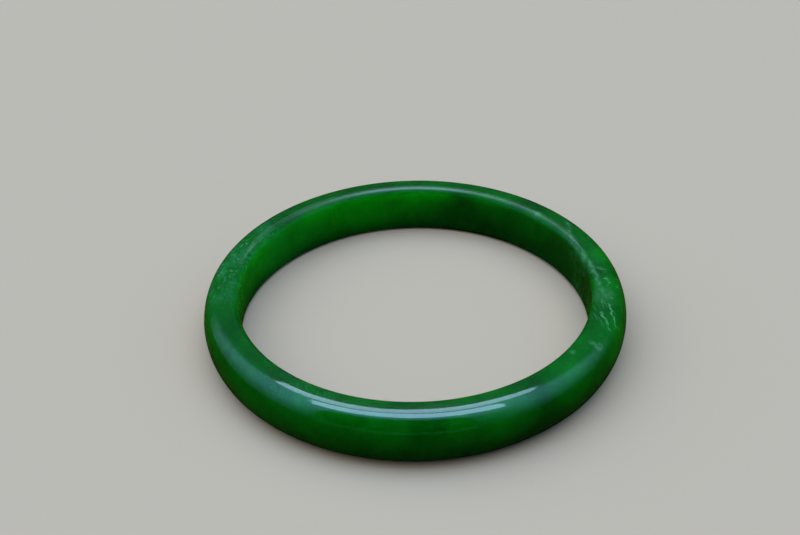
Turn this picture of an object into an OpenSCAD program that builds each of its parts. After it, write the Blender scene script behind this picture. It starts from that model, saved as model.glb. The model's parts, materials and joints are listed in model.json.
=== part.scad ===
// Stone bangle bracelet: one rigid ring cut from a single piece of green jade.
// It lies flat on the ground plane, centred on the Z axis, with its lowest edge at z = 0.
// The inner wall is a plain cylinder, its two edges are eased, and the outside is domed.
// Units are millimetres.

/* [Ring] */
// Inside diameter, wall to wall across the opening
inner_d = 56; // [50:0.5:64]
// Radial thickness of the band at mid height
wall_t = 5.6; // [5.2:0.1:7]
// Height of the band along Z
band_h = 8.5; // [8:0.1:12]

/* [Section] */
// Radius of the two eased edges beside the opening
edge_r = 1.1; // [0.6:0.1:1.4]
// Radial depth of the domed outside, from the level land to the crown
dome_d = 3.2; // [2.6:0.1:3.6]
// How far the crown stands in front of the shoulder centres beyond one shoulder radius
crown_rise = 0.3; // [0.2:0.05:0.4]

/* [Hidden] */
$fa = 3;
$fs = 0.2;
inner_r = inner_d / 2;
outer_r = inner_r + wall_t;
half_h = band_h / 2;
edge_x = inner_r + edge_r;
edge_y = half_h - edge_r;
shoulder_r = dome_d - crown_rise;
shoulder_x = outer_r - dome_d;
shoulder_y = half_h - shoulder_r;
crown_r = (dome_d * dome_d + shoulder_y * shoulder_y - shoulder_r * shoulder_r) / (2 * crown_rise);
crown_x = outer_r - crown_r;
blend_a = atan2(shoulder_y, shoulder_x - crown_x);
reach = 2 * outer_r;

bangle();

// The whole ring, turned about the Z axis from its section
module bangle() {
  color([0.05, 0.42, 0.16])
    translate([0, 0, half_h])
      rotate_extrude()
        ring_section();
}

// D-shaped section with x as radius and y as height above mid height
module ring_section() {
  wall_and_land();
  eased_edge();
  mirror([0, 1]) eased_edge();
  shoulder();
  mirror([0, 1]) shoulder();
  crown();
}

// Flat inner wall together with the level top and bottom lands
module wall_and_land() {
  polygon([
    [inner_r, -edge_y],
    [edge_x, -edge_y],
    [edge_x, -half_h],
    [shoulder_x, -half_h],
    [shoulder_x, half_h],
    [edge_x, half_h],
    [edge_x, edge_y],
    [inner_r, edge_y]
  ]);
}

// Quarter round between the inner wall and the upper land
module eased_edge() {
  intersection() {
    translate([edge_x, edge_y]) circle(r = edge_r);
    translate([inner_r, edge_y]) square(edge_r);
  }
}

// Arc from the outer end of the upper land to where the crown takes over
module shoulder() {
  translate([shoulder_x, shoulder_y])
    intersection() {
      circle(r = shoulder_r);
      wedge(blend_a, 90, 2 * shoulder_r);
    }
}

// Broad arc of the dome between the two shoulders, tangent to both
module crown() {
  intersection() {
    translate([crown_x, 0]) circle(r = crown_r);
    polygon([
      [shoulder_x, -shoulder_y],
      [shoulder_x + reach * cos(blend_a), -shoulder_y - reach * sin(blend_a)],
      [shoulder_x + reach * cos(blend_a), shoulder_y + reach * sin(blend_a)],
      [shoulder_x, shoulder_y]
    ]);
  }
}

// Four-sided wedge with its point at the origin, between two directions
module wedge(from_a, to_a, side) {
  mid_a = (from_a + to_a) / 2;
  polygon([
    [0, 0],
    [side * cos(from_a), side * sin(from_a)],
    [1.5 * side * cos(mid_a), 1.5 * side * sin(mid_a)],
    [side * cos(to_a), side * sin(to_a)]
  ]);
}
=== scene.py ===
import json
import math

import bpy
from mathutils import Matrix, Vector


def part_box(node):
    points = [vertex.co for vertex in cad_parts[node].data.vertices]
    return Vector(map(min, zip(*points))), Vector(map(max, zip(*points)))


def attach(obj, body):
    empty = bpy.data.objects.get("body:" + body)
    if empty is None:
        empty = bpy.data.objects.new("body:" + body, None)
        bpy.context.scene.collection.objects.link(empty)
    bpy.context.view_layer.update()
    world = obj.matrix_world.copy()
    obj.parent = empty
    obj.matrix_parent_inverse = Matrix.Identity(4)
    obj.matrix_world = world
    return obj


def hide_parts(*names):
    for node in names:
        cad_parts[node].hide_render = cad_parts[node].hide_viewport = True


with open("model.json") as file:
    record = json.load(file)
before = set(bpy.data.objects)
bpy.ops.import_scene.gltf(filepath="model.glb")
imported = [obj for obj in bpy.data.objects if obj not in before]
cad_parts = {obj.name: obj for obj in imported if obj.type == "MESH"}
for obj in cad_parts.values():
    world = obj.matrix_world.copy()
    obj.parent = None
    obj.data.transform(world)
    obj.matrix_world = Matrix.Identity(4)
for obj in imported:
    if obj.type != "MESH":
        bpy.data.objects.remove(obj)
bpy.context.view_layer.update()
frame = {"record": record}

# All lengths are in metres and all angles in degrees. An angle round the ring is counted from +X
# towards +Y, so 0 is its right, 90 its back, 180 its left and -90 its front, nearest the viewer.

# ---------------------------------------------------------------- dimensions
LOW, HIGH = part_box("bangle")
OPENING = next(m for m in frame["record"]["mounts"] if m["name"] == "wrist_opening")

BAND_H = HIGH.z - LOW.z                                  # height of the band
INNER_R = OPENING["dims"]["r_mm"] / 1000                 # radius of the plain inner wall
EDGE_R = (BAND_H - OPENING["dims"]["length_mm"] / 1000) / 2   # rounds beside the inner wall
WALL_T = 0.0056                                          # radial thickness at mid height
DOME_D = 0.0032                                          # radial depth of the domed outside
CROWN_RISE = 0.0003                                      # crown in front of the shoulders' reach
OUTER_R = INNER_R + WALL_T
MIDDLE_R = INNER_R + WALL_T / 2
TOP = Vector((0, 0, HIGH.z))

RING_STEPS = 640                                         # faces round the ring
CROWN_STEPS = 24                                         # faces along each stretch of the section
SHOULDER_STEPS = 18
LAND_STEPS = 5
EDGE_STEPS = 14
WALL_STEPS = 10

UP = (0, 0, 1)
BACK = (0, 1, 0)
LEFT = (-1, 0, 0)
RIGHT = (1, 0, 0)


# ---------------------------------------------------------------- the ring's mesh
def arc(centre, radius, start, end, steps):
    """Points of an arc from angle start to angle end, without its last point."""
    span = math.radians(end - start)
    first = math.radians(start)
    return [
        (centre[0] + radius * math.cos(first + span * i / steps),
         centre[1] + radius * math.sin(first + span * i / steps))
        for i in range(steps)
    ]


def line(start, end, steps):
    """Points of a straight stretch, without its last point."""
    return [
        (start[0] + (end[0] - start[0]) * i / steps, start[1] + (end[1] - start[1]) * i / steps)
        for i in range(steps)
    ]


def section():
    """The closed D-shaped outline of the band: x is radius, y is height. Anticlockwise."""
    shoulder_r = DOME_D - CROWN_RISE
    shoulder_x = OUTER_R - DOME_D
    shoulder_y = BAND_H / 2 - shoulder_r
    crown_r = (DOME_D**2 + shoulder_y**2 - shoulder_r**2) / (2 * CROWN_RISE)
    crown_x = OUTER_R - crown_r
    blend = math.degrees(math.atan2(shoulder_y, shoulder_x - crown_x))
    mid = LOW.z + BAND_H / 2
    edge_x = INNER_R + EDGE_R
    upper, lower = HIGH.z, LOW.z
    return (
        arc((crown_x, mid), crown_r, -blend, blend, CROWN_STEPS)
        + arc((shoulder_x, mid + shoulder_y), shoulder_r, blend, 90, SHOULDER_STEPS)
        + line((shoulder_x, upper), (edge_x, upper), LAND_STEPS)
        + arc((edge_x, upper - EDGE_R), EDGE_R, 90, 180, EDGE_STEPS)
        + line((INNER_R, upper - EDGE_R), (INNER_R, lower + EDGE_R), WALL_STEPS)
        + arc((edge_x, lower + EDGE_R), EDGE_R, 180, 270, EDGE_STEPS)
        + line((edge_x, lower), (shoulder_x, lower), LAND_STEPS)
        + arc((shoulder_x, mid - shoulder_y), shoulder_r, -90, -blend, SHOULDER_STEPS)
    )


def make_ring(material):
    """The whole bracelet, turned about Z from its section with a fine, smooth mesh."""
    outline = section()
    count = len(outline)
    points = []
    for i in range(RING_STEPS):
        turn = 2 * math.pi * i / RING_STEPS
        c, s = math.cos(turn), math.sin(turn)
        points += [(r * c, r * s, z) for r, z in outline]
    faces = []
    for i in range(RING_STEPS):
        here, there = i * count, (i + 1) % RING_STEPS * count
        for j in range(count):
            k = (j + 1) % count
            faces.append((here + j, there + j, there + k, here + k))
    mesh = bpy.data.meshes.new("jade_ring")
    mesh.from_pydata(points, [], faces)
    mesh.shade_smooth()
    mesh.materials.append(material)
    ring = bpy.data.objects.new("jade_ring", mesh)
    bpy.context.scene.collection.objects.link(ring)
    return ring


# ---------------------------------------------------------------- node helpers
class Nodes:
    """Adds nodes to one tree. A number, a tuple or another node's output can feed an input."""

    def __init__(self, tree):
        self.tree = tree
        tree.nodes.clear()

    def feed(self, socket, value):
        if isinstance(value, bpy.types.NodeSocket):
            self.tree.links.new(value, socket)
        elif value is not None:
            socket.default_value = value

    def add(self, kind, inputs=(), **settings):
        node = self.tree.nodes.new(kind)
        for name, value in settings.items():
            setattr(node, name, value)
        for name, value in dict(inputs).items():
            self.feed(node.inputs[name], value)
        return node

    def math(self, operation, a, b=None):
        node = self.add("ShaderNodeMath", operation=operation)
        self.feed(node.inputs[0], a)
        self.feed(node.inputs[1], b)
        return node.outputs[0]

    def add_up(self, *values):
        total = values[0]
        for value in values[1:]:
            total = self.math("ADD", total, value)
        return total

    def times(self, a, b):
        return self.math("MULTIPLY", a, b)

    def most(self, *values):
        total = values[0]
        for value in values[1:]:
            total = self.math("MAXIMUM", total, value)
        return total

    def scaled(self, vector, factors):
        node = self.add("ShaderNodeVectorMath", operation="MULTIPLY")
        self.feed(node.inputs[0], vector)
        self.feed(node.inputs[1], factors)
        return node.outputs["Vector"]

    def distance(self, a, b):
        node = self.add("ShaderNodeVectorMath", operation="DISTANCE")
        self.feed(node.inputs[0], a)
        self.feed(node.inputs[1], b)
        return node.outputs["Value"]

    def dot(self, vector, direction):
        node = self.add("ShaderNodeVectorMath", operation="DOT_PRODUCT")
        self.feed(node.inputs[0], vector)
        self.feed(node.inputs[1], direction)
        return node.outputs["Value"]

    def step(self, value, low, high):
        """0 below low, 1 above high, smooth between. low above high turns it round."""
        node = self.add("ShaderNodeMapRange", interpolation_type="SMOOTHSTEP")
        flip = low > high
        self.feed(node.inputs["Value"], value)
        self.feed(node.inputs["From Min"], min(low, high))
        self.feed(node.inputs["From Max"], max(low, high))
        self.feed(node.inputs["To Min"], 1.0 if flip else 0.0)
        self.feed(node.inputs["To Max"], 0.0 if flip else 1.0)
        return node.outputs["Result"]

    def noise(self, vector, size, detail=2.0, roughness=0.5, distortion=0.0):
        """Noise from 0 to 1 whose lumps are about size metres across."""
        node = self.add(
            "ShaderNodeTexNoise",
            {"Vector": vector, "Scale": 1 / size, "Detail": detail,
             "Roughness": roughness, "Distortion": distortion},
        )
        return node.outputs["Fac"]

    def waver(self, vector, size, detail, roughness, amount):
        """Noise to both sides of 0, amount metres from end to end."""
        return self.times(self.add_up(self.noise(vector, size, detail, roughness), -0.5), amount)

    def mix(self, share, a, b):
        node = self.add("ShaderNodeMix", data_type="RGBA", clamp_factor=True)
        self.feed(node.inputs["Factor"], share)
        self.feed(node.inputs["A"], a)
        self.feed(node.inputs["B"], b)
        return node.outputs["Result"]


def on_band(angle, radius=MIDDLE_R, height=HIGH.z):
    """A point of the band at that angle, by default on top of its middle."""
    turn = math.radians(angle)
    return Vector((radius * math.cos(turn), radius * math.sin(turn), height))


def patch(n, point, centre, radius):
    """1 at centre, fading to 0 at radius."""
    return n.step(n.distance(point, centre), radius, radius * 0.2)


def axis_distance(n, point):
    """How far the point is from the ring's axis."""
    return n.distance(n.scaled(point, (1, 1, 0)), (0, 0, 0))


# ---------------------------------------------------------------- the jade's green
DEEP = (0.0004, 0.085, 0.0020, 1)
LEAF = (0.0012, 0.255, 0.0070, 1)
CLOUD = (0.0250, 0.270, 0.1150, 1)
COTTON = (0.1500, 0.500, 0.3300, 1)

# how the green drifts from deep to leafy: lump size, detail, roughness, distortion, strength
DRIFTS = (
    (0.0090, 3, 0.55, 0.4, 0.50),
    (0.0026, 3, 0.60, 0.3, 0.60),
    (0.0012, 3, 0.65, 0.0, 0.30),
)
DRIFT_BASE = -0.36                                       # keeps most of the stone deep

# softly brighter and darker places, partly the stone's own tone and partly painted light and painted
# shade: angle, radius, height, size, leafiness added
TONE_AND_PAINTED_LIGHT_ZONES = (
    # outside: mostly painted light, with painted shade low at the front right
    (-113, OUTER_R, 0.0060, 0.0080, 0.16),
    (-97, OUTER_R, 0.0066, 0.0045, 0.32),
    (-80, OUTER_R, 0.0062, 0.0035, 0.20),
    (-64, OUTER_R, 0.0074, 0.0060, 0.40),
    (-48, OUTER_R, 0.0074, 0.0065, 0.50),
    (-174, OUTER_R, 0.0060, 0.0042, 0.16),
    (-71, OUTER_R, 0.0064, 0.0040, 0.26),
    (-22, OUTER_R, 0.0052, 0.0070, 0.48),
    (-6, OUTER_R, 0.0062, 0.0070, 0.52),
    (12, OUTER_R, 0.0074, 0.0060, 0.60),
    (37, OUTER_R, 0.0078, 0.0045, 0.30),
    (-54, OUTER_R, 0.0015, 0.0110, -0.45),
    (-84, OUTER_R, 0.0076, 0.0030, -0.15),
    (-150, OUTER_R, 0.0040, 0.0080, -0.12),
    # top face: mostly painted shade
    (-158, INNER_R + 0.0012, HIGH.z, 0.0045, -0.22),
    (-131, INNER_R + 0.0012, HIGH.z, 0.0050, -0.26),
    (-90, INNER_R + 0.0014, HIGH.z, 0.0065, -0.32),
    (-56, INNER_R + 0.0008, HIGH.z, 0.0065, -0.24),
    (-25, INNER_R + 0.0010, HIGH.z, 0.0045, -0.22),
    (20, INNER_R + 0.0015, HIGH.z, 0.0050, -0.15),
    (46, INNER_R + 0.0018, HIGH.z, 0.0060, -0.36),
    (-12, INNER_R + 0.0010, HIGH.z, 0.0070, -0.14),
    (5, INNER_R + 0.0010, HIGH.z, 0.0050, -0.20),
    (-143, INNER_R + 0.0012, HIGH.z, 0.0040, -0.16),
    (22, OUTER_R - 0.0015, HIGH.z, 0.0040, 0.18),
    (70, INNER_R + 0.0018, HIGH.z, 0.0050, -0.12),
    (130, INNER_R + 0.0018, HIGH.z, 0.0070, -0.12),
    # inner wall: painted light and painted shade
    (5, INNER_R, 0.0050, 0.0060, -0.15),
    (40, INNER_R, 0.0060, 0.0045, 0.32),
    (35, INNER_R, 0.0004, 0.0100, -0.40),
    (46, INNER_R, 0.0060, 0.0036, 0.40),
    (55, INNER_R, 0.0062, 0.0040, 0.28),
    (82, INNER_R, 0.0035, 0.0050, -0.20),
    (62, INNER_R, 0.0060, 0.0040, 0.28),
    (97, INNER_R, 0.0078, 0.0050, -0.18),
    (112, INNER_R, 0.0062, 0.0090, -0.22),
    (143, INNER_R, 0.0064, 0.0065, -0.38),
    (-173, INNER_R, 0.0035, 0.0060, 0.40),
    (-8, INNER_R, 0.0028, 0.0040, 0.30),
    (15, INNER_R, 0.0025, 0.0090, -0.30),
    (60, INNER_R, 0.0004, 0.0080, -0.30),
    (108, INNER_R, 0.0004, 0.0085, 0.50),
    (145, INNER_R, 0.0004, 0.0085, 0.35),
)

CLOUD_R = 0.0315                                         # where the left cloud is thickest
CLOUD_STRETCH = (1.0, 0.55, 0.8)                         # draws the cloud out along the left side


def body_colour(n, point):
    """Green that drifts between deep and leafy, with its zones of tone and of painted light and painted
    shade.
    """
    share = DRIFT_BASE
    for size, detail, roughness, distortion, strength in DRIFTS:
        drift = n.noise(point, size, detail, roughness, distortion)
        share = n.add_up(share, n.times(drift, strength))
    # the zones paint light and shade into the green as well as tone
    for angle, radius, height, size, more in TONE_AND_PAINTED_LIGHT_ZONES:
        place = on_band(angle, radius, height)
        share = n.add_up(share, n.times(patch(n, point, place, size), more))
    return n.mix(share, DEEP, LEAF)


def clouds(n, point):
    """Share of pale cloud: a fine mottle and slow wisps, thick at the left and weak off the top."""
    drawn = n.scaled(point, CLOUD_STRETCH)
    mottle = n.step(n.noise(drawn, 0.00045, 3, 0.65), 0.46, 0.68)
    drift = n.step(n.noise(drawn, 0.0026, 3, 0.6, 0.2), 0.40, 0.66)
    left = n.add_up(
        patch(n, point, on_band(158, CLOUD_R), 0.0140),
        patch(n, point, on_band(180, CLOUD_R), 0.0075),
    )
    front = patch(n, point, on_band(-122, INNER_R), 0.0085)
    right = patch(n, point, on_band(5, INNER_R + 0.0020), 0.0140)
    thick = n.add_up(n.times(left, 0.45), n.times(front, 0.30), n.times(right, 0.12), 0.07)
    wisps = n.times(drift, n.add_up(n.times(left, 0.36), n.times(front, 0.10), 0.02))
    top = n.step(n.dot(point, UP), 0.0062, 0.0082)
    return n.times(n.add_up(n.times(mottle, thick), wisps), n.add_up(0.25, n.times(top, 0.75)))


# ---------------------------------------------------------------- the jade's white marks
CRACK_WAY = (-0.146, 0.989, 0)                           # along the long crack, seen from above
CRACK_SIDE = (0.989, 0.146, 0)                           # across it
CRACK_OFFSET = 0.0284                                    # its distance from the ring's axis
CRACK_BEND = 0.0004                                      # how far it bows to each side
CRACK_WAVE = 0.024                                       # length of one such bow and its return

# short pale lines near the long crack: from (angle, radius), to (angle, radius), strength
STROKES = (
    (-12.0, 0.0305, -22.5, 0.0328, 0.85),
    (-16.5, 0.0297, -25.0, 0.0321, 0.70),
    (-10.5, 0.0294, -17.0, 0.0303, 0.40),
    (5.5, 0.0292, 3.5, 0.0310, 0.60),
    (0.0, 0.0304, -3.5, 0.0309, 0.65),
)

GRAIN_WAY = (0.19, -0.98, 0)                             # along the fine grain, seen from above
GRAIN_SIDE = (0.98, 0.19, 0)                             # across it

# pale spots, three at the right of the front and one on the inner edge at the right back:
# angle, radius, height, size, strength
SPOTS = (
    (-32.1, 0.0307, HIGH.z, 0.0009, 0.70),
    (-32.2, 0.0317, 0.0082, 0.0011, 0.95),
    (41.5, 0.0288, 0.0082, 0.0012, 0.90),
    (-39.1, 0.0294, HIGH.z, 0.0007, 0.75),
)

FLECK_SIZE = 0.0008                                      # spacing of the flecks
FLECK_WANDER = 0.0013                                    # how far their outlines are pushed about
FLECK_RAGGEDNESS = 1800.0                                # noise scale of that push


def crack_distance(n, point, along):
    """Distance from the bowed, wavering line of the long crack."""
    bend = n.math("SINE", n.times(n.add_up(along, -0.002), -2 * math.pi / CRACK_WAVE))
    off = n.add_up(n.dot(point, CRACK_SIDE), -CRACK_OFFSET, n.times(bend, -CRACK_BEND))
    off = n.add_up(off, n.waver(point, 0.0050, 2, 0.5, 0.0013))
    off = n.add_up(off, n.waver(point, 0.0012, 3, 0.6, 0.0011))
    return n.math("ABSOLUTE", off)


def healed_crack(n, point):
    """A pale crack across the right of the band along a chord, its halo, and haze at its near end."""
    along = n.dot(point, CRACK_WAY)
    off = crack_distance(n, point, along)
    extent = n.times(n.step(along, -0.0120, -0.0070), n.step(along, 0.0200, 0.0175))
    strong = n.times(patch(n, point, on_band(3, 0.0287), 0.0060), 0.12)
    broken = n.step(n.add_up(n.noise(point, 0.0019, 3, 0.7), strong), 0.46, 0.66)
    core = n.times(n.step(off, 0.00032, 0.00006), n.times(broken, 0.20))
    halo = n.times(n.step(off, 0.00080, 0.00010), n.add_up(n.times(broken, 0.14), 0.07))
    near_end = patch(n, point, on_band(-9.5, 0.0294), 0.0030)
    haze = n.times(near_end, n.add_up(n.times(broken, 0.16), 0.10))
    return n.add_up(n.times(extent, n.add_up(core, halo)), haze)


def strokes(n, point):
    """Short wavering lines, broken here and there, in front of the long crack."""
    waver = n.waver(point, 0.0015, 3, 0.65, 0.0016)
    total = 0.0
    for start_angle, start_radius, end_angle, end_radius, strength in STROKES:
        start = on_band(start_angle, start_radius)
        span = on_band(end_angle, end_radius) - start
        length = span.length
        way = span.normalized()
        across = way.cross(Vector(UP))
        along = n.add_up(n.dot(point, way[:]), -start.dot(way))
        off = n.math("ABSOLUTE", n.add_up(n.dot(point, across[:]), -start.dot(across), waver))
        ends = n.times(n.step(along, 0, length * 0.2), n.step(along, length, length * 0.75))
        total = n.most(total, n.times(n.step(off, 0.00028, 0.00004), n.times(ends, strength)))
    broken = n.step(n.noise(point, 0.0011, 3, 0.7), 0.36, 0.62)
    top = n.step(n.dot(point, UP), 0.0055, 0.0070)
    return n.times(n.times(total, top), n.add_up(0.15, n.times(broken, 0.85)))


def streaks(n, point):
    """Fine grain around the strokes, running almost along the band."""
    stretched = n.add("ShaderNodeCombineXYZ")
    n.feed(stretched.inputs["X"], n.times(n.dot(point, GRAIN_WAY), 0.14))
    n.feed(stretched.inputs["Y"], n.dot(point, GRAIN_SIDE))
    n.feed(stretched.inputs["Z"], n.times(n.dot(point, UP), 0.5))
    lines = n.step(n.noise(stretched.outputs["Vector"], 0.00045, 2, 0.6), 0.54, 0.74)
    place = patch(n, point, on_band(-17, 0.0312), 0.0048)
    return n.times(lines, n.times(place, 0.45))


def spots(n, point):
    """The pale spots, each a little uneven."""
    total = 0.0
    for angle, radius, height, size, strength in SPOTS:
        spot = patch(n, point, on_band(angle, radius, height), size)
        total = n.most(total, n.times(spot, strength))
    drift = n.step(n.noise(point, 0.0009, 3, 0.6), 0.30, 0.62)
    return n.times(total, n.times(drift, 0.40))


def flecks(n, point):
    """Small pale cotton flecks on the top face, closer together at its left and right."""
    push = n.add("ShaderNodeTexNoise", {"Vector": point, "Scale": FLECK_RAGGEDNESS, "Detail": 3.0})
    moved = n.add("ShaderNodeVectorMath", operation="MULTIPLY_ADD")
    n.feed(moved.inputs[0], push.outputs["Color"])
    n.feed(moved.inputs[1], (FLECK_WANDER, FLECK_WANDER, FLECK_WANDER))
    n.feed(moved.inputs[2], point)
    inputs = {"Vector": moved.outputs["Vector"], "Scale": 1 / FLECK_SIZE}
    cells = n.add("ShaderNodeTexVoronoi", inputs)
    lot = n.add("ShaderNodeSeparateColor", {"Color": cells.outputs["Color"]})
    left = n.times(patch(n, point, on_band(165), 0.0150), 0.26)
    right = n.times(patch(n, point, on_band(-3, 0.0310), 0.0090), 0.17)
    chosen = n.times(n.step(n.add_up(lot.outputs["Red"], left, right), 0.93, 1.20), 0.85)
    top = n.step(n.dot(point, UP), 0.0070, 0.0082)
    return n.times(n.times(chosen, top), n.step(cells.outputs["Distance"], 0.50, 0.0))


def markings(n, point):
    """Share of white, from whichever mark is strongest at the point."""
    cotton = n.times(flecks(n, point), 0.8)
    return n.most(cotton, spots(n, point), streaks(n, point), strokes(n, point), healed_crack(n, point))


# ---------------------------------------------------------------- the jade's material
STONE_IOR = 1.66
# painted reflection colour: the tint turns every reflection blue-green, standing in for the colour of
# the light
SPECULAR_TINT = (0.35, 0.70, 1.0, 1)
SCATTER_COLOURS = (0.25, 1.0, 0.35)                      # how far red, green and blue light travel
WAVINESS = 0.000018                                      # depth of the waves left by polishing

OUTSIDE_REACH = 0.007                                    # how far light travels in the stone
WALL_REACH = 0.032                                       # and how much further by the inner wall
DENSE_LOSS = 0.029                                       # less that, at the wall's right back
DENSE_WAY = (0.80, 0.60, 0)


def reach(n, point):
    """How far light travels: far through the thin inner side, least far at the right back."""
    inside = n.step(axis_distance(n, point), 0.0285, 0.0281)
    right_back = n.step(n.dot(point, DENSE_WAY), 0.0180, 0.0238)
    right = patch(n, point, on_band(8, INNER_R, HIGH.z / 2), 0.0230)
    more = n.math("SUBTRACT", WALL_REACH, n.times(n.most(right_back, right), DENSE_LOSS))
    return n.add_up(n.times(inside, more), OUTSIDE_REACH)


def gloss(n, point):
    """Roughness and specular level: a mirror polish outside, a plainer one inside, and wear
    along the inner edge at the back, most of it at the left."""
    radius = axis_distance(n, point)
    to_back = n.dot(point, BACK)
    to_left = n.dot(point, LEFT)
    inner = n.step(radius, 0.0294, 0.0288)
    back = n.times(n.step(to_back, 0.0050, 0.0150), n.step(radius, 0.0300, 0.0292))
    edge = n.times(back, n.step(radius, 0.02802, 0.0282))
    left_back = n.times(back, n.step(to_left, 0.0120, 0.0190))
    worn = n.add_up(n.times(back, 0.12), n.times(edge, 0.13), n.times(left_back, 0.20))
    haze = n.times(n.noise(point, 0.0060, 3, 0.6), 0.05)
    roughness = n.add_up(n.times(inner, 0.06), worn, haze, 0.035)

    centre = n.step(to_back, 0.0262, 0.0282)
    far_left = n.step(to_left, 0.0195, 0.0235)
    dullness = n.times(edge, n.add_up(0.25, n.times(centre, -0.18), n.times(far_left, 0.20)))
    return roughness, n.math("SUBTRACT", 0.5, dullness)


def polish(n, point):
    """What polishing leaves: a slow waviness and a trace of grain."""
    waves = n.noise(point, 0.0060, 2, 0.5)
    grain = n.times(n.noise(point, 0.0006, 3, 0.6), 0.06)
    bump = n.add("ShaderNodeBump", {"Height": n.add_up(waves, grain), "Distance": WAVINESS})
    return bump.outputs["Normal"]


def make_jade():
    """Deep green translucent jade: soft mottling, pale cloud, cotton flecks and healed cracks."""
    material = bpy.data.materials.new("jade")
    material.use_nodes = True
    n = Nodes(material.node_tree)
    point = n.add("ShaderNodeTexCoord").outputs["Object"]
    colour = n.mix(clouds(n, point), body_colour(n, point), CLOUD)
    colour = n.mix(markings(n, point), colour, COTTON)
    roughness, specular = gloss(n, point)
    shader = n.add(
        "ShaderNodeBsdfPrincipled",
        {"Base Color": colour, "Roughness": roughness, "IOR": STONE_IOR,
         "Specular IOR Level": specular, "Specular Tint": SPECULAR_TINT, "Normal": polish(n, point),
         "Subsurface Weight": 1.0, "Subsurface Radius": SCATTER_COLOURS,
         "Subsurface Scale": reach(n, point)},
    )
    out = n.add("ShaderNodeOutputMaterial")
    n.tree.links.new(shader.outputs["BSDF"], out.inputs["Surface"])
    return material


# ---------------------------------------------------------------- floor
FLOOR_SEEN = (0.60, 0.56, 0.52, 1)                       # what the camera sees
FLOOR_BOUNCE = (0.030, 0.050, 0.010, 1)                  # what the stone gets from it
FLOOR_HALF = 12.0


def make_floor():
    """A plain pale floor that sends little light back up into the stone, as the real one did."""
    material = bpy.data.materials.new("floor")
    material.use_nodes = True
    n = Nodes(material.node_tree)
    seen = n.add("ShaderNodeLightPath").outputs["Is Camera Ray"]
    diffuse = n.add("ShaderNodeBsdfDiffuse", {"Color": n.mix(seen, FLOOR_BOUNCE, FLOOR_SEEN)})
    out = n.add("ShaderNodeOutputMaterial")
    n.tree.links.new(diffuse.outputs["BSDF"], out.inputs["Surface"])
    half = FLOOR_HALF
    mesh = bpy.data.meshes.new("floor")
    corners = [(-half, -half, 0), (half, -half, 0), (half, half, 0), (-half, half, 0)]
    mesh.from_pydata(corners, [], [(0, 1, 2, 3)])
    mesh.materials.append(material)
    floor = bpy.data.objects.new("floor", mesh)
    bpy.context.scene.collection.objects.link(floor)


# ---------------------------------------------------------------- lights
# A direction is (forward, side): tipped from straight up by forward degrees towards the back,
# then by side degrees to the right.
LIGHT_DISTANCE = 3.0
NEAR_CORNERS = ((19.5, -18.5), (21, -2), (17.5, 13), (10, 18), (-8.5, 26), (0.5, -28))
NEAR_RADIANCE = 7.8
NEAR_COLOUR = (1.0, 0.88, 0.92)
FAR_CORNERS = (
    (46.5, -8), (46.5, 4.5), (40, 9), (30, 16.5), (21, 20.5),
    (23.5, 12), (24, 0), (24, -8), (26.5, -17), (30.5, -21), (42, -11),
)
FAR_RADIANCE = 6.0
FAR_COLOUR = (0.95, 0.82, 0.91)
FILL_FROM = (5, -15)
FILL_SPREAD = 50                                         # half the angle that it fills
FILL_RADIANCE = 0.64
FILL_COLOUR = (1.0, 0.77, 0.45)


def direction(forward, side):
    """Unit vector of a direction."""
    f, s = math.radians(forward), math.radians(side)
    return Vector((math.sin(s), math.cos(s) * math.sin(f), math.cos(s) * math.cos(f)))


def panel(name, corners, radiance, colour):
    """A glowing flat panel that only reflections see, with its corners in those directions."""
    material = bpy.data.materials.new(name)
    material.use_nodes = True
    n = Nodes(material.node_tree)
    glow = n.add("ShaderNodeEmission", {"Color": (*colour, 1), "Strength": radiance})
    out = n.add("ShaderNodeOutputMaterial")
    n.tree.links.new(glow.outputs["Emission"], out.inputs["Surface"])
    ways = [direction(*corner) for corner in corners]
    middle = sum(ways, Vector()).normalized()
    points = [TOP + way * (LIGHT_DISTANCE / way.dot(middle)) for way in ways]
    mesh = bpy.data.meshes.new(name)
    mesh.from_pydata(points, [], [range(len(points))])
    mesh.materials.append(material)
    glowing = bpy.data.objects.new(name, mesh)
    glowing.visible_camera = glowing.visible_diffuse = glowing.visible_shadow = False
    bpy.context.scene.collection.objects.link(glowing)


def make_lights():
    """Two panels give the long reflections, and a broad warm light above fills in the rest."""
    panel("near_panel", NEAR_CORNERS, NEAR_RADIANCE, NEAR_COLOUR)
    panel("far_panel", FAR_CORNERS, FAR_RADIANCE, FAR_COLOUR)
    data = bpy.data.lights.new("fill", "AREA")
    data.size = 2 * LIGHT_DISTANCE * math.tan(math.radians(FILL_SPREAD))
    data.energy = math.pi * data.size**2 * FILL_RADIANCE
    data.color = FILL_COLOUR
    fill = bpy.data.objects.new("fill", data)
    back = direction(*FILL_FROM)
    turn = back.to_track_quat("Z", "Y").to_matrix().to_4x4()
    fill.matrix_world = Matrix.Translation(TOP + back * LIGHT_DISTANCE) @ turn
    fill.visible_glossy = False
    bpy.context.scene.collection.objects.link(fill)


# ---------------------------------------------------------------- sky
SKY_COLOUR = (0.60, 0.80, 1.0, 1)
LOW_COLOUR = (0.12, 1.0, 0.17, 1)                        # green glow low down in the dark gap
BACKDROP_SEEN = (0.50, 0.49, 0.47, 1)                    # what the camera sees of the sky

# the sky's darker parts end where a direction's dot product with these passes a small range
GAP_LEFT = (0.95, -1, 0.28)
GAP_RIGHT = (-1.87, -1, 0.156)
GAP_TOP = (-0.15, -1, -0.25)
FRONT_TOP = (0, -1, -0.15)
BEHIND_LEFT = (0.593, 1, -0.356)
BEHIND_RIGHT = (-0.244, 1, -0.2865)


def passed(n, toward, way, low, high):
    """How far the direction has passed from low to high along way."""
    return n.step(n.dot(toward, way), low, high)


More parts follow.
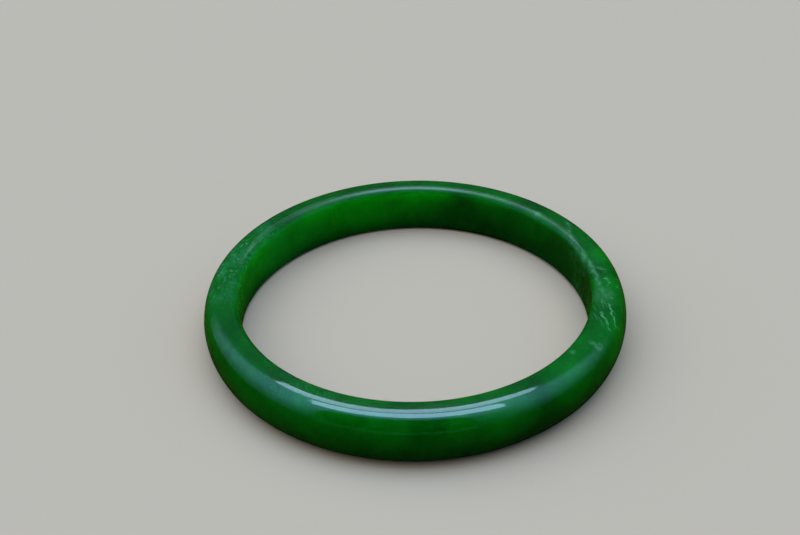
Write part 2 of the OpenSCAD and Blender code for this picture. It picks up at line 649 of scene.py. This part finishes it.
def dimmed(n, light, amount, *edges):
    """light, less that share of itself where every edge is passed."""
    share = amount
    for edge in edges:
        share = n.times(share, edge)
    return n.times(light, n.math("SUBTRACT", 1.0, share))


def dark_gap(n, toward):
    """1 in the dark gap on the viewer's side, 0 elsewhere."""
    left = passed(n, toward, GAP_LEFT, -0.025, 0.025)
    right = passed(n, toward, GAP_RIGHT, -0.045, 0.045)
    return n.times(n.times(left, right), passed(n, toward, GAP_TOP, -0.14, 0.14))


def sky_light(n, toward, gap):
    """Brightness of the sky: most overhead, less low down, around the gap and behind the ring."""
    light = n.math("POWER", n.math("MAXIMUM", n.dot(toward, UP), 0.0), 1.5)
    light = n.add_up(n.times(light, 1.9), 0.15)
    light = dimmed(n, light, -0.18, passed(n, toward, LEFT, 0.5, 0.8))
    light = dimmed(n, light, 0.14, passed(n, toward, RIGHT, 0.15, 0.5))
    left_back = n.times(passed(n, toward, LEFT, 0.6, 0.9), passed(n, toward, BACK, 0.1, 0.7))
    light = n.add_up(light, n.times(left_back, 0.3))
    light = dimmed(
        n, light, 0.72,
        passed(n, toward, GAP_LEFT, -0.45, 0.1),
        passed(n, toward, GAP_RIGHT, -1.15, -0.15),
        passed(n, toward, FRONT_TOP, 0, 0.45),
    )
    light = dimmed(n, light, 0.98, gap)
    return dimmed(
        n, light, 0.86,
        passed(n, toward, BEHIND_LEFT, -0.12, 0.28),
        passed(n, toward, BEHIND_RIGHT, -0.12, 0.26),
    )


def make_world():
    """A soft sky for the stone to be lit by and to reflect, and a plain backdrop for the camera."""
    world = bpy.data.worlds.new("studio")
    world.use_nodes = True
    bpy.context.scene.world = world
    n = Nodes(world.node_tree)
    toward = n.add("ShaderNodeTexCoord").outputs["Generated"]
    gap = dark_gap(n, toward)
    low_glow = n.times(n.times(gap, n.step(n.dot(toward, UP), 0.20, 0.06)), 0.4)
    light = sky_light(n, toward, gap)
    sky = n.add("ShaderNodeBackground", {"Color": SKY_COLOUR, "Strength": light})
    low = n.add("ShaderNodeBackground", {"Color": LOW_COLOUR, "Strength": low_glow})
    both = n.add("ShaderNodeAddShader")
    n.tree.links.new(sky.outputs["Background"], both.inputs[0])
    n.tree.links.new(low.outputs["Background"], both.inputs[1])
    seen = n.add("ShaderNodeBackground", {"Color": BACKDROP_SEEN, "Strength": 1.0})
    camera_ray = n.add("ShaderNodeLightPath").outputs["Is Camera Ray"]
    choose = n.add("ShaderNodeMixShader", {"Fac": camera_ray})
    n.tree.links.new(both.outputs["Shader"], choose.inputs[1])
    n.tree.links.new(seen.outputs["Background"], choose.inputs[2])
    out = n.add("ShaderNodeOutputWorld")
    n.tree.links.new(choose.outputs["Shader"], out.inputs["Surface"])


# ---------------------------------------------------------------- camera
CAMERA_ELEVATION = 37.81
CAMERA_DISTANCE = 0.18484
CAMERA_AIM = Vector((-0.0024, 0.01591, 0))               # point on the floor that it looks at
CAMERA_ROLL = -1.63
CAMERA_LENS = 50.88                                      # in millimetres
SENSOR_WIDTH = 36                                        # in millimetres
NEAREST_SEEN = 0.005


def make_camera():
    """The camera, in front of the ring and above it."""
    data = bpy.data.cameras.new("camera")
    data.sensor_width = SENSOR_WIDTH
    data.lens = CAMERA_LENS
    data.clip_start = NEAREST_SEEN
    camera = bpy.data.objects.new("camera", data)
    tilt = math.radians(CAMERA_ELEVATION)
    camera.location = Vector((0, -math.cos(tilt), math.sin(tilt))) * CAMERA_DISTANCE
    look = (CAMERA_AIM - camera.location).to_track_quat("-Z", "Y").to_matrix()
    roll = Matrix.Rotation(math.radians(CAMERA_ROLL), 3, "Z")
    camera.matrix_world = Matrix.Translation(camera.location) @ (look @ roll).to_4x4()
    bpy.context.scene.collection.objects.link(camera)
    bpy.context.scene.camera = camera


# ---------------------------------------------------------------- the scene
ring = make_ring(make_jade())
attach(ring, "root")
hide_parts("bangle")

make_floor()
make_world()
make_lights()
make_camera()
bpy.context.scene.view_settings.view_transform = "Standard"
